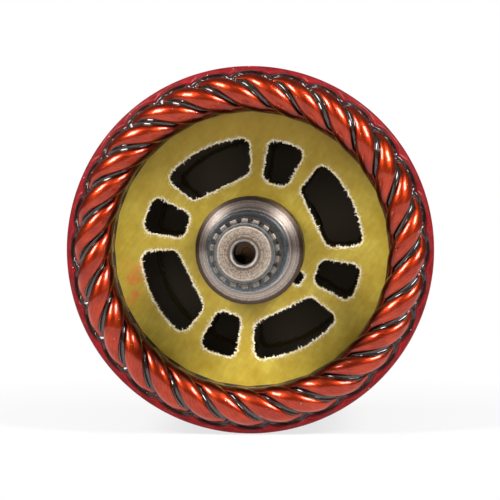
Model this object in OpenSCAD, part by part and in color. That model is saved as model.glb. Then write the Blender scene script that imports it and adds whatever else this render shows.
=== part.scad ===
// Armature of a low-voltage direct-current motor. A stack of slotted laminations is keyed on a splined
// shaft and carries hairpin coils of enamelled copper bar, which end in the risers of a moulded commutator.
// Lengths are in millimetres. The shaft lies along Y with its drive end toward -Y, and the origin is the
// middle of the drive bearing seat. Every piece is drawn with the shaft upright, drive end up, then laid down.

/* [Core] */
// Outside diameter of the lamination stack
core_d = 114; // [108:1:122]
// Length of the lamination stack
core_l = 90; // [60:1:130]
// Number of slots, coils and commutator bars
slot_n = 28; // [24:4:28]
// Number of magnetic poles of the winding
pole_n = 4; // [4:2:6]
// Angle of the first slot
slot_turn = -2.3; // [-6:0.1:6]
// Thickness of the tooth tips above the wedges
tip_t = 1; // [0.8:0.1:1.4]
// Width of the slot mouths
mouth_w = 3.6; // [2.6:0.1:4.4]
// Iron left between the slot bottoms and the ducts
yoke_t = 8.4; // [5:0.1:10]
// Iron left between the shaft and the ducts
hub_t = 4.9; // [4:0.1:6.5]

/* [Ducts] */
// Angle of the first wide duct
duct_turn = 26.2; // [0:0.1:45]
// Half the angle of a wide duct
wide_half = 24.9; // [20:0.1:26]
// Half the angle of a narrow duct
narrow_half = 10.2; // [9:0.1:13]
// Corner radius of the ducts
duct_corner = 2.8; // [1.5:0.1:3.2]
// How far the duct walls in the iron stand back from those in the end boards
duct_step = 0.5; // [0.2:0.1:1]

/* [End boards] */
// Thickness of an end board
board_t = 2.4; // [1.5:0.1:4]
// How far the rim of a board stands back from the core
board_step = 0.6; // [0.3:0.1:1.2]

/* [Coils] */
// Width of the copper bar across the slot
coil_w = 4.7; // [4:0.1:5]
// Height of the copper bar along the slot
coil_h = 4.4; // [4:0.1:5.6]
// Gap between the upper and lower layer
layer_gap = 1.4; // [1.2:0.1:2.4]
// Straight length of a coil side outside the core
exit_l = 4; // [3:0.1:6]
// Rise of the slanted coil ends on the drive side
drive_rise = 17.5; // [16:0.1:24]
// Half the angle of a nose
nose_half = 11; // [9:0.1:12]
// How far the lower coil ends lean toward the shaft at the noses
nose_lean = 1.4; // [0.8:0.1:1.8]
// Fall of the slanted leads on the commutator side
lead_rise = 21; // [19:0.1:28]
// Straight length of a lead before its riser
lead_in = 3; // [2:0.1:6]
// Length over which a bar bends out of its slot
bend_l = 1.4; // [1:0.1:1.8]

/* [Insulation] */
// Thickness of a slot liner
liner_t = 0.4; // [0.3:0.05:0.6]
// Length of liner outside the end boards
liner_over = 2.4; // [1.5:0.1:2.8]
// Thickness of a slot wedge
wedge_t = 1.8; // [1.4:0.1:2.4]
// How far a wedge groove cuts into the tooth flanks
groove_lip = 0.7; // [0.4:0.1:1]
// Length of wedge outside the end boards
wedge_over = 1.2; // [0.6:0.1:1.6]
// Thickness of a resin band
band_t = 2.4; // [1.6:0.1:2.5]
// Distance from an end board to its resin band
band_set = 2; // [1.8:0.1:2.6]
// Length of the drive-end band
drive_band_l = 19; // [10:0.1:20]
// Length of the commutator-end band
lead_band_l = 11; // [6:0.1:14]
// Edge radius of the drive-end band's rim
band_round = 0.8; // [0.3:0.1:1.2]
// Distance between a resin band and the coils below it
band_gap = 0.3; // [0.2:0.05:0.6]
// Thickness of the sleeves between the coil layers
sleeve_t = 0.6; // [0.4:0.05:0.9]
// Distance from an end board to the sleeve beside it
sleeve_set = 0.6; // [0.4:0.1:0.9]

/* [Shaft] */
// Diameter of the shaft in the core
shaft_d = 33.2; // [30:0.1:36]
// Diameter of the drive bearing seat
seat_d = 25; // [22:0.1:26]
// Length of the drive bearing seat
seat_l = 16; // [12:0.1:20]
// Diameter of the shoulder's rim
rim_d = 31.2; // [28:0.1:32]
// Length of the conical shoulder
shoulder_l = 2.6; // [1.5:0.1:5]
// Length of the rim chamfer
rim_l = 0.8; // [0.4:0.1:1.5]
// Distance from the shoulder to the drive-end board
core_set = 30; // [28:0.1:40]
// Edge chamfer of the bearing seats
seat_chamfer = 0.6; // [0.3:0.1:1]

/* [Spline] */
// Number of spline teeth
tooth_n = 18; // [16:1:20]
// Diameter over the teeth
spline_d = 21; // [19:0.1:21.8]
// Depth of the tooth gaps
tooth_h = 1.6; // [1:0.1:1.9]
// Length of the spline
spline_l = 23; // [15:0.1:35]
// Length of the neck between bearing seat and spline
neck_l = 2; // [1:0.1:4]
// How far the neck lies below the tooth gaps
neck_cut = 0.4; // [0.2:0.1:0.8]
// Chamfer at the front of the teeth
tooth_chamfer = 0.9; // [0.5:0.1:1.2]
// Length of the tapered pilot
pilot_l = 6; // [3:0.1:10]
// Diameter of the shaft's end face
pilot_d = 16; // [13:0.1:16.4]

/* [Shaft holes] */
// Tapping diameter of the thread in the drive end
tap_d = 6.8; // [5:0.1:8.5]
// Depth of the tapped hole
tap_l = 20; // [12:0.1:28]
// Countersink diameter of the tapped hole
sink_d = 8.7; // [8.6:0.1:11]
// Diameter of the centre hole in the commutator end
centre_d = 3.2; // [2:0.1:4]
// Mouth diameter of that centre hole
centre_mouth_d = 6.6; // [5:0.1:8]
// Depth of the straight part of that centre hole
centre_l = 4; // [2:0.1:8]

/* [Core key] */
// Angle of the key
key_turn = -32.5; // [-60:0.1:0]
// Width of the key
key_w = 4; // [3:0.1:6]
// Height of the key
key_h = 4; // [3:0.1:5]
// How far the key ends inside the core
key_in = 6; // [2:0.1:12]

/* [Commutator] */
// Diameter of the brush track
track_d = 72; // [66:0.5:76]
// Length of the brush track
track_l = 36; // [20:0.5:50]
// Width of the risers along the shaft
riser_w = 7; // [5:0.1:10]
// Copper left outside the upper lead in a riser
riser_cap = 0.6; // [0.3:0.1:1.5]
// Distance between track and lower lead, and between the two leads
lead_gap = 0.4; // [0.2:0.1:0.8]
// Gap between two bars at the track
mica_t = 0.8; // [0.5:0.1:1.2]
// How far the mica is cut below the track
undercut = 0.8; // [0.4:0.1:1.2]
// Depth of a bar below the track
bar_t = 6; // [4:0.1:8]
// Depth of the dovetail foot below the bar
foot_h = 4; // [3:0.1:5]
// Distance from the bar's end to the neck of the dovetail
neck_in = 10; // [8:0.1:13]
// How far the foot runs out beyond the neck
foot_out = 3; // [2:0.1:5]
// Diameter of the commutator seat
hub_d = 30; // [27:0.1:30]
// Wall of the steel bush
bush_t = 3; // [2:0.1:4]
// How far the resin stands back from the ends of bars and bush
resin_in = 1.2; // [0.5:0.1:3]

/* [Commutator-end bearing] */
// Diameter of the commutator-end bearing seat
rear_d = 20; // [15:0.1:22]
// Length of that seat
rear_l = 14; // [10:0.1:20]
// Diameter of the shoulder behind it
rear_rim_d = 26; // [24:0.1:27]
// Length of that shoulder
rear_rim_l = 7; // [4:0.1:15]
// Length of commutator seat beyond the bush
hub_over = 2; // [0.5:0.1:6]

/* [Fits] */
// Clearance between seated pieces
fit = 0.1; // [0.05:0.01:0.15]

/* [Hidden] */
$fn = 96;
copper = "#b5502c";
resin_red = "#a3242c";
steel = "#8f8c88";
iron = "#4b4a4c";
glass_board = "#c4ad45";
sheet = "#7d6a4c";
phenolic = "#3a2a22";
mica_grey = "#b9b2a0";
part_end = 1;                                   // overlap by which a cut runs past a face

pitch = 360 / slot_n;
coil_throw = round(slot_n / pole_n);            // slots between the two sides of a coil
span_half = coil_throw * pitch / 2;
low_turn = floor((coil_throw - 1) / 2) * pitch; // a coil ends at two neighbouring bars
top_turn = (coil_throw - 1) * pitch - low_turn;
core_r = core_d / 2;
groove_r1 = core_r - tip_t;
groove_r0 = groove_r1 - wedge_t - 2 * fit;
upper_r = groove_r0 - coil_h / 2;
lower_r = upper_r - coil_h - layer_gap;
slot_w = coil_w + 2 * liner_t + 4 * fit;
groove_w = slot_w + 2 * groove_lip;
slot_r0 = lower_r - coil_h / 2 - liner_t - 2 * fit;
duct_r1 = slot_r0 - yoke_t;
duct_r0 = shaft_d / 2 + hub_t;

shoulder_z = -seat_l / 2;
board_z1 = shoulder_z - core_set;
core_z1 = board_z1 - board_t;
core_z0 = core_z1 - core_l;
board_z0 = core_z0 - board_t;

sleeve_r = (upper_r + lower_r) / 2;
nose_mid_r = sleeve_r - nose_lean / 2;
nose_r = upper_r - nose_mid_r;
nose_z = board_z1 + exit_l + drive_rise;
nose_h = drive_rise / (span_half - nose_half) * nose_half * 2 / PI;

track_r = track_d / 2;
riser_z1 = board_z0 - exit_l - lead_rise - lead_in;
riser_z0 = riser_z1 - riser_w;
bar_z0 = riser_z0 - track_l;
low_lead_r = track_r + lead_gap + coil_h / 2;
top_lead_r = low_lead_r + coil_h + lead_gap;
riser_r = top_lead_r + coil_h / 2 + riser_cap;
bar_deg = pitch - mica_t / track_r * 180 / PI;
bar_r0 = track_r - bar_t;
foot_r0 = bar_r0 - foot_h;
bush_r = hub_d / 2 + fit + bush_t;

spline_r = spline_d / 2;
root_r = spline_r - tooth_h;
spline_z0 = seat_l / 2 + neck_l;
spline_z1 = spline_z0 + spline_l;
end_z1 = spline_z1 + pilot_l;
hub_z0 = bar_z0 - hub_over;
rear_z1 = hub_z0 - rear_rim_l;
rear_z0 = rear_z1 - rear_l;

function two(i) = i < 10 ? str("0", i) : str(i);
function coil_name(i) = str("coil_", two(i));

function slot_angle(i) = slot_turn + (i - 1) * pitch;
function mix(a, b, t) = a + (b - a) * t;
function unit(v) = v / norm(v);
function polar(r, a) = [r * cos(a), r * sin(a)];
function arc(c, r, a0, a1, steps) = [for (i = [0 : steps]) c + polar(r, mix(a0, a1, i / steps))];
function mirrored(pts) = [for (i = [len(pts) - 1 : -1 : 0]) [pts[i][0], -pts[i][1]]];

// Lays an upright piece along Y, drive end toward -Y.
module laid() rotate([90, 0, 0]) children();

// Repeats a piece once for each slot.
module each_slot() for (i = [1 : slot_n]) rotate(slot_angle(i)) children();

// Outline of a duct on the X axis: straight inner edge, radial sides, outer edge round the shaft.
function duct_outline(half, grow) =
    let (r0 = duct_r0 - grow, r1 = duct_r1 + grow, h = half + grow / duct_r1 * 180 / PI, c = duct_corner,
         outer = h - asin(c / (r1 - c)),
         inner_c = [r0 + c, ((r0 + c) * sin(h) - c) / cos(h)],
         side = concat(arc([0, 0], r1, 0, outer, 4), arc(polar(r1 - c, outer), c, outer, h + 90, 4),
                       arc(inner_c, c, h + 90, 180, 4)))
    concat(side, [for (p = mirrored(side)) p]);

// Outline of a slot on the X axis, with its wedge groove and mouth.
function slot_outline() =
    let (side = [[slot_r0, slot_w / 2], [groove_r0, slot_w / 2], [groove_r0, groove_w / 2],
                 [groove_r1, mouth_w / 2], [core_r + part_end, mouth_w / 2]])
    concat(side, mirrored(side));

// Face of the core or an end board.
module punching(outer_r, grow) {
    difference() {
        circle(r = outer_r);
        circle(r = shaft_d / 2 + fit / 2);
        each_slot() polygon(slot_outline());
        for (k = [0 : 3]) {
            rotate(duct_turn + 90 * k) polygon(duct_outline(wide_half, grow));
            rotate(duct_turn + 45 + 90 * k) polygon(duct_outline(narrow_half, grow));
        }
        rotate(key_turn) translate([0, -key_w / 2 - fit / 2])
            square([shaft_d / 2 + key_h / 2 + fit / 2, key_w + fit]);
    }
}

module lamination_stack() color(iron) laid()
    translate([0, 0, core_z0]) linear_extrude(core_l) punching(core_r, duct_step);

module end_board(z) color(glass_board) laid()
    translate([0, 0, z]) linear_extrude(board_t) punching(core_r - board_step, 0);

module drive_end_board() end_board(core_z1);

module commutator_end_board() end_board(board_z0);

// Half profile of the shaft, from the tapped drive end to the centre hole at the other end.
function shaft_profile() =
    let (tap_r = tap_d / 2, sink_r = sink_d / 2, pilot_r = pilot_d / 2, core = root_r - neck_cut,
         seat_r = seat_d / 2, c = seat_chamfer, rear_r = rear_d / 2)
    [[0, end_z1 - tap_l - tap_r / 2], [tap_r, end_z1 - tap_l], [tap_r, end_z1 - sink_r + tap_r],
     [sink_r, end_z1], [pilot_r, end_z1], [core, spline_z1], [core, seat_l / 2],
     [seat_r - c, seat_l / 2], [seat_r, seat_l / 2 - c], [seat_r, shoulder_z],
     [rim_d / 2, shoulder_z - shoulder_l], [shaft_d / 2, shoulder_z - shoulder_l - rim_l],
     [shaft_d / 2, riser_z1 + lead_in], [hub_d / 2, riser_z1 + lead_in], [hub_d / 2, hub_z0],
     [rear_rim_d / 2, hub_z0], [rear_rim_d / 2, rear_z1], [rear_r, rear_z1], [rear_r, rear_z0 + c],
     [rear_r - c, rear_z0], [centre_mouth_d / 2, rear_z0],
     [centre_d / 2, rear_z0 + (centre_mouth_d - centre_d) / 2 * sqrt(3)],
     [centre_d / 2, rear_z0 + (centre_mouth_d - centre_d) / 2 * sqrt(3) + centre_l],
     [0, rear_z0 + (centre_mouth_d - centre_d) / 2 * sqrt(3) + centre_l + centre_d / 4]];

// Gap between two spline teeth, on the X axis.
function tooth_gap() =
    let (deg = 360 / tooth_n, top = (spline_r + part_end) * sin(deg * 0.29), foot = root_r * sin(deg * 0.17))
    [[root_r, -foot], [spline_r + part_end, -top], [spline_r + part_end, top], [root_r, foot]];

// Toothed ring of the spline, with the tips turned to size and chamfered at the front.
module spline() {
    intersection() {
        translate([0, 0, spline_z0]) linear_extrude(spline_l) difference() {
            circle(r = spline_r + part_end / 2);
            for (i = [0 : tooth_n - 1]) rotate(360 / tooth_n * i) polygon(tooth_gap());
        }
        rotate_extrude() polygon([[0, spline_z0 - part_end], [spline_r, spline_z0 - part_end],
            [spline_r, spline_z1 - tooth_chamfer], [spline_r - tooth_chamfer, spline_z1],
            [spline_r - tooth_chamfer, spline_z1 + part_end], [0, spline_z1 + part_end]]);
    }
}

module shaft() color(steel) laid() {
    difference() {
        union() {
            rotate_extrude() polygon(shaft_profile());
            difference() {
                spline();
                translate([0, 0, spline_z0 - part_end])
                    cylinder(r = root_r - 2 * neck_cut, h = spline_l + 2 * part_end);
            }
        }
        rotate(key_turn) translate([shaft_d / 2 - key_h / 2, -key_w / 2 - fit / 2, core_z0 + key_in - fit])
            cube([key_h, key_w + fit, core_l - 2 * key_in + 2 * fit]);
    }
}

module core_key() color(steel) laid()
    rotate(key_turn) translate([shaft_d / 2 - key_h / 2, -key_w / 2, core_z0 + key_in])
        cube([key_h, key_w, core_l - 2 * key_in]);

module slot_liners() color(sheet) laid()
    each_slot() translate([0, 0, board_z0 - liner_over])
        linear_extrude(board_z1 - board_z0 + 2 * liner_over) difference() {
            translate([slot_r0 + fit, -slot_w / 2 + fit])
                square([groove_r0 - slot_r0 - 2 * fit, slot_w - 2 * fit]);
            translate([slot_r0 + fit + liner_t, -slot_w / 2 + fit + liner_t])
                square([groove_r0 - slot_r0, slot_w - 2 * fit - 2 * liner_t]);
        }

module slot_wedges() color(sheet) laid()
    each_slot() translate([0, 0, board_z0 - wedge_over])
        linear_extrude(board_z1 - board_z0 + 2 * wedge_over)
            polygon([[groove_r0 + fit, -groove_w / 2 + 3 * fit], [groove_r1 - fit, -mouth_w / 2 + fit],
                     [groove_r1 - fit, mouth_w / 2 - fit], [groove_r0 + fit, groove_w / 2 - 3 * fit]]);

// Stations of a coil, each with its angle, radius, height and the lean of the bar's outer face: -90 faces
// the shaft, 0 the drive end and 90 away from the shaft. A leg runs from its riser to the foot of its nose.
function leg(turn, lead_turn, slot_a, r, nose_end_r, lead_r, lean) = concat(
    [[slot_a + turn * lead_turn, lead_r, riser_z0 + fit, lean],
     [slot_a + turn * lead_turn, lead_r, riser_z1 + lead_in - bend_l, lean]],
    [for (t = [0.07 : 0.215 : 0.931])
        [slot_a + turn * lead_turn * (1 - t), mix(lead_r, r, t), board_z0 - exit_l - lead_rise * (1 - t), lean]],
    [[slot_a, r, board_z0 - exit_l + bend_l, lean], [slot_a, r, board_z1 + exit_l - bend_l, lean]],
    [for (t = [0.09 : 0.305 : 0.701])
        [slot_a + turn * (span_half - nose_half) * t, mix(r, nose_end_r, t),
         board_z1 + exit_l + drive_rise * t, lean]]);

function nose(a) = [for (q = [-90 : 30 : 90])
    [a + nose_half * q / 90, nose_mid_r + nose_r * sin(q), nose_z + nose_h * cos(q), q]];

function coil_path(i) =
    let (a = slot_angle(i), top = leg(-1, top_turn, a + 2 * span_half, upper_r, upper_r, top_lead_r, 90))
    concat(leg(1, low_turn, a, lower_r, nose_mid_r - nose_r, low_lead_r, -90), nose(a + span_half),
           [for (k = [len(top) - 1 : -1 : 0]) top[k]]);

function spot(s) = [s[1] * cos(s[0]), s[1] * sin(s[0]), s[2]];
function face_dir(s) = [sin(s[3]) * cos(s[0]), sin(s[3]) * sin(s[0]), cos(s[3])];

// One eight-sided ring of the bar, square to its path.
function bar_ring(path, k) =
    let (last = len(path) - 1, p = spot(path[k]),
         along = unit(spot(path[min(k + 1, last)]) - spot(path[max(k - 1, 0)])),
         f = face_dir(path[k]), up = unit(f - (f * along) * along), across = cross(along, up))
    [for (q = [22.5 : 45 : 360]) p + (up * coil_h * cos(q) + across * coil_w * sin(q)) / 2 / cos(22.5)];

module coil(i) {
    path = coil_path(i);
    rings = [for (k = [0 : len(path) - 1]) bar_ring(path, k)];
    last = len(rings) - 1;
    color(copper) laid() polyhedron(
        points = [for (ring = rings) for (p = ring) p],
        faces = concat(
            [[for (j = [0 : 7]) j], [for (j = [7 : -1 : 0]) last * 8 + j]],
            [for (k = [0 : last - 1]) for (j = [0 : 7]) let (n = (j + 1) % 8)
                each [[k * 8 + j, k * 8 + 8 + j, k * 8 + 8 + n], [k * 8 + j, k * 8 + 8 + n, k * 8 + n]]]),
        convexity = 6);
}

module drive_end_band() {
    r0 = groove_r0 + band_gap;
    r1 = r0 + band_t;
    z0 = board_z1 + band_set;
    z1 = z0 + drive_band_l;
    color(resin_red) laid() rotate_extrude()
        polygon(concat([[r0, z1], [r0, z0], [r1, z0]],
                       arc([r1 - band_round, z1 - band_round], band_round, 0, 90, 4)));
}

// The band on the leads follows their fall toward the risers.
module commutator_end_band() {
    r0 = groove_r0 + band_gap;
    z1 = board_z0 - band_set;
    z0 = z1 - lead_band_l;
    fall = (upper_r - top_lead_r) / lead_rise * (board_z0 - exit_l + bend_l - z0);
    color(resin_red) laid() rotate_extrude()
        polygon([[r0, z1], [r0 + band_t, z1], [r0 + band_t, board_z0 - exit_l + bend_l],
                 [r0 + band_t - fall, z0], [r0 - fall, z0], [r0, board_z0 - exit_l + bend_l]]);
}

module drive_end_sleeve() {
    z0 = board_z1 + sleeve_set;
    color(sheet) laid() rotate_extrude()
        translate([sleeve_r - sleeve_t / 2, z0]) square([sleeve_t, nose_z - z0]);
}

// Cone between the leads, ending where they come too close for it.
module commutator_end_sleeve() {
    z2 = board_z0 - sleeve_set;
    z1 = board_z0 - exit_l;
    z0 = z1 - lead_rise / 2;
    r0 = (sleeve_r + (low_lead_r + top_lead_r) / 2) / 2;
    color(sheet) laid() rotate_extrude()
        polygon([[sleeve_r - sleeve_t / 2, z2], [sleeve_r + sleeve_t / 2, z2], [sleeve_r + sleeve_t / 2, z1],
                 [r0 + sleeve_t / 2, z0], [r0 - sleeve_t / 2, z0], [sleeve_r - sleeve_t / 2, z1]]);
}

// Dovetail below the bars, wider at its foot, from the commutator end to the core end.
function dovetail(play) =
    [[bar_r0 - play, bar_z0 + neck_in - play], [foot_r0 - play, bar_z0 + neck_in - foot_out - play],
     [foot_r0 - play, riser_z1 - neck_in + foot_out + play], [bar_r0 - play, riser_z1 - neck_in + play]];

module commutator_bars() color(copper) laid()
    each_slot() difference() {
        rotate(-bar_deg / 2) rotate_extrude(angle = bar_deg)
            polygon(concat(dovetail(0), [[bar_r0, riser_z1], [riser_r, riser_z1], [riser_r, riser_z0],
                                         [track_r, riser_z0], [track_r, bar_z0], [bar_r0, bar_z0]]));
        translate([track_r + lead_gap - fit, -coil_w / 2 - fit, riser_z0 - part_end])
            cube([riser_r, coil_w + 2 * fit, riser_w + 2 * part_end]);
    }

module commutator_mica() color(mica_grey) laid()
    each_slot() rotate(bar_deg / 2) rotate_extrude(angle = pitch - bar_deg)
        polygon(concat(dovetail(0), [[bar_r0, riser_z1], [track_r - undercut, riser_z1],
                                     [track_r - undercut, bar_z0], [bar_r0, bar_z0]]));

module commutator_moulding() {
    z0 = bar_z0 + resin_in;
    z1 = riser_z1 - resin_in;
    color(phenolic) laid() rotate_extrude()
        polygon(concat([[bush_r + fit, z0], [bar_r0 - fit, z0]], dovetail(fit),
                       [[bar_r0 - fit, z1], [bush_r + fit, z1]]));
}

module commutator_bush() color(steel) laid()
    translate([0, 0, bar_z0]) difference() {
        cylinder(r = bush_r, h = riser_z1 - bar_z0);
        translate([0, 0, -part_end]) cylinder(r = hub_d / 2 + fit, h = riser_z1 - bar_z0 + 2 * part_end);
    }

shaft();
core_key();
lamination_stack();
drive_end_board();
commutator_end_board();
slot_liners();
slot_wedges();
drive_end_band();
commutator_end_band();
drive_end_sleeve();
commutator_end_sleeve();
commutator_bars();
commutator_mica();
commutator_moulding();
commutator_bush();
for (i = [1 : slot_n]) coil(i);
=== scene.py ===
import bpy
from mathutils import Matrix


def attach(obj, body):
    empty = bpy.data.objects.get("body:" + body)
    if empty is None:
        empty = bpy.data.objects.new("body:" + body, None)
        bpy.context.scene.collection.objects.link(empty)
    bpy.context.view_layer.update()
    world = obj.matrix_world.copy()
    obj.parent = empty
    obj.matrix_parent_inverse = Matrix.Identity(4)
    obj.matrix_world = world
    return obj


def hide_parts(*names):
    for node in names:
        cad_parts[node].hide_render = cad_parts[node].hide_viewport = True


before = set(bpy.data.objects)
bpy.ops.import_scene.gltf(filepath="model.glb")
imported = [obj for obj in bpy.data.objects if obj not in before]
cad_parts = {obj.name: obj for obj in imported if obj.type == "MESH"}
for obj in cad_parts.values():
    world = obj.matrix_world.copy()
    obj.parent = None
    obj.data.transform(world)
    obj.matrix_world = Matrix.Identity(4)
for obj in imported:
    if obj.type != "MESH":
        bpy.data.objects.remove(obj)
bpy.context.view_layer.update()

import math
import bmesh
import bpy
from mathutils import Vector, kdtree, noise

# Shaft. One bar of carbon steel, turned between centres, with a rolled spline, a ground bearing seat and a
# tapped hole in the drive end. It is drawn as one skin of rings round the Y axis, in millimetres.


def srgb(code):
    """Linear colour of an sRGB hex value."""
    parts = [int(code[i:i + 2], 16) / 255 for i in (1, 3, 5)]
    return [p / 12.92 if p <= 0.04045 else ((p + 0.055) / 1.055) ** 2.4 for p in parts] + [1.0]


def join(node, links):
    """Sets a node's inputs. A link pairs an input with a value, an output, or a node for its first output."""
    for name, value in links:
        if isinstance(value, bpy.types.Node):
            value = next(out for out in value.outputs if out.enabled)
        if isinstance(value, bpy.types.NodeSocket):
            node.id_data.links.new(value, node.inputs[name])
        else:
            node.inputs[name].default_value = value
    return node


def add(tree, kind, links=(), **settings):
    """Adds a node with its settings and links."""
    node = tree.nodes.new(kind)
    for key, value in settings.items():
        setattr(node, key, value)
    return join(node, links)


def finish(name, **sockets):
    """A new material with its shader and Object coordinates in millimetres."""
    material = bpy.data.materials.new(name)
    material.use_nodes = True
    tree = material.node_tree
    shader = tree.nodes["Principled BSDF"]
    for key, value in sockets.items():
        shader.inputs[key.replace("_", " ")].default_value = value
    place = add(tree, "ShaderNodeTexCoord")
    mm = add(tree, "ShaderNodeVectorMath", [(0, place.outputs["Object"]), (1, (1000, 1000, 1000))],
             operation="MULTIPLY")
    return material, tree, shader, mm.outputs[0]


def off_axis(tree, mm):
    """Nodes for a point's X, Y and Z and for its distance from the shaft's axis."""
    split = add(tree, "ShaderNodeSeparateXYZ", [(0, mm)])
    flat = add(tree, "ShaderNodeCombineXYZ", [("X", split.outputs["X"]), ("Z", split.outputs["Z"])])
    return split, add(tree, "ShaderNodeVectorMath", [(0, flat)], operation="LENGTH")


def piece(name, verts, faces, material, slot, *nodes):
    """A smooth closed mesh from points in millimetres, poles merged. With a slot it rides on the armature."""
    mesh = bpy.data.meshes.new(name)
    mesh.from_pydata([(x / 1000, y / 1000, z / 1000) for x, y, z in verts], [], faces)
    shell = bmesh.new()
    shell.from_mesh(mesh)
    bmesh.ops.remove_doubles(shell, verts=shell.verts, dist=1e-7)
    bmesh.ops.recalc_face_normals(shell, faces=shell.faces)
    shell.to_mesh(mesh)
    shell.free()
    mesh.polygons.foreach_set("use_smooth", [True] * len(mesh.polygons))
    mesh.set_sharp_from_angle(angle=math.radians(38))
    mesh.materials.append(material)
    made = bpy.data.objects.new(name, mesh)
    bpy.context.scene.collection.objects.link(made)
    if slot:
        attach(made, "root")
        if nodes:
            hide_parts(*nodes)
    return made


def polar(r, a, y):
    """Point at radius r and angle a in degrees, counted from +X toward +Z, at depth y along the shaft."""
    return (r * math.cos(math.radians(a)), y, r * math.sin(math.radians(a)))


def skin(rings, angles, loop=False):
    """Points and faces of a skin over rings, each ring a depth and a radius for every angle."""
    n = len(angles)
    verts = [polar(r[j] if isinstance(r, list) else r, angles[j], y) for r, y in rings for j in range(n)]
    faces = []
    last = len(rings) if loop else len(rings) - 1
    for k in range(last):
        a, b = k * n, (k + 1) % len(rings) * n
        faces += [(a + j, a + (j + 1) % n, b + (j + 1) % n, b + j) for j in range(n)]
    return verts, faces


def rounded(corners, steps=4):
    """Profile through (r, y, edge radius) corners, with each edge rounded and flats kept flat beside it."""
    out = []
    for i, (r, y, e) in enumerate(corners):
        p = Vector((r, y))
        if e == 0 or i in (0, len(corners) - 1):
            out.append((r, y))
            continue
        u = (Vector(corners[i - 1][:2]) - p).normalized()
        v = (Vector(corners[i + 1][:2]) - p).normalized()
        half = u.angle(v) / 2
        t = e / math.tan(half)
        centre = p + (u + v).normalized() * e / math.sin(half)
        a, b = p + u * t - centre, p + v * t - centre
        turn = a.angle_signed(b)
        out.append(tuple(p + u * t * 1.35))
        for s in range(steps + 1):
            c, d = math.cos(turn * s / steps), math.sin(turn * s / steps)
            out.append((centre.x + a.x * c + a.y * d, centre.y - a.x * d + a.y * c))
        out.append(tuple(p + v * t * 1.35))
    return out


tooth_n, spline_r, root_r = 18, 10.5, 8.9
flank_slope, flank_drop, corner_turn, corner_loss = 0.2442, 1.645, 5.05, 0.12
tooth_pitch = 360 / tooth_n
around = [tooth_pitch * i + d for i in range(tooth_n)
          for d in (-10, -8.6, -7, -5.9, -5.35, -4.95, -4.4, -3.8, -3.3, -2.6, -1.3, 0,
                    1.3, 2.6, 3.3, 3.8, 4.4, 4.95, 5.35, 5.9, 7, 8.6)]


def tooth(a):
    """Radius of the spline at angle a, counted from the middle of a gap: root, straight flank, worn tip."""
    a = abs((a + tooth_pitch / 2) % tooth_pitch - tooth_pitch / 2)
    s, c = math.sin(math.radians(a)), math.cos(math.radians(a))
    flank = flank_drop / (flank_slope * c - s) if s < 0.2 * c else spline_r
    edge = corner_loss * max(0, 1 - abs(a - corner_turn) / 0.6)
    return min(max(root_r / c, flank), spline_r - edge)


bore_r, thread_y, thread_l, thread_pitch, thread_depth, thread_rings = 3.4, -19.2, 18.4, 1.25, 0.26, 50
bore = [(0, -18.6), (3.3, -18.9)]
for i in range(thread_rings):
    y = thread_y - i * thread_l / (thread_rings - 1)
    bore.append(([bore_r + thread_depth * math.cos(2 * math.pi * (y / thread_pitch - a / 360))
                  for a in around], y))
front = rounded([(bore_r, -38.3, 0), (3.95, -39, 0.08), (8.0, -39, 0.2), (8.5, -33.2, 0.15), (8.5, -33, 0)])
teeth = [([min(tooth(a), 9.95) for a in around], -33.0)]
teeth += [([min(tooth(a), cap) for a in around], y)
          for cap, y in ((10.05, -32.96), (10.4, -32.6), (10.47, -32.4), (10.6, -31.9), (10.6, -22),
                         (10.6, -11), (10.6, -10.2), (10.4, -10.05), (10.2, -10.0))]
seat = rounded([(8.5, -10, 0), (8.5, -8, 0.5), (11.9, -8, 0.12), (12.5, -7.4, 0.15), (12.5, 8, 0.25),
                (15.6, 10.6, 0.2), (16.6, 11.4, 0.2), (16.6, 157.8, 0.3), (15, 157.8, 0.3), (15, 205.8, 0.3),
                (13, 205.8, 0.3), (13, 212.8, 0.3), (10, 212.8, 0.2), (10, 226.2, 0.15), (9.4, 226.8, 0.12),
                (3.3, 226.8, 0.1), (1.6, 223.86, 0.1), (1.6, 219.86, 0.1), (0, 219.06, 0)])
verts, faces = skin(bore + front + teeth + seat, around)
# Turned carbon steel: grey metal with fine rings of tool marks, which stretch its reflections across them.
shaft_steel, tree, shader, mm = finish("turned_carbon_steel", Metallic=1.0, Anisotropic=0.35)
split, radius = off_axis(tree, mm)
# Oil and rust have stained the shaft by radius: brown in the hole, grimy round it, bare on the worn faces,
# and brown on the rim that touched the bearing's seal. The spline's gaps and the seat's face are painted a
# darker blue-grey, painted shade of that recess; a pale ring on the countersink and a bright line at the
# seat's edge are painted highlights.
ramp_r, wobble_mm = 17.0, 0.5
wobble = add(tree, "ShaderNodeTexNoise", [("Vector", mm), ("Scale", 1 / 1.2), ("Detail", 5.0)])
wander = add(tree, "ShaderNodeMath", [(0, wobble), (1, wobble_mm), (2, radius)], operation="MULTIPLY_ADD")
share = add(tree, "ShaderNodeMapRange", [("Value", wander), ("From Min", wobble_mm / 2),
                                         ("From Max", ramp_r + wobble_mm / 2)])
tint = add(tree, "ShaderNodeValToRGB", [("Fac", share)])
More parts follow.
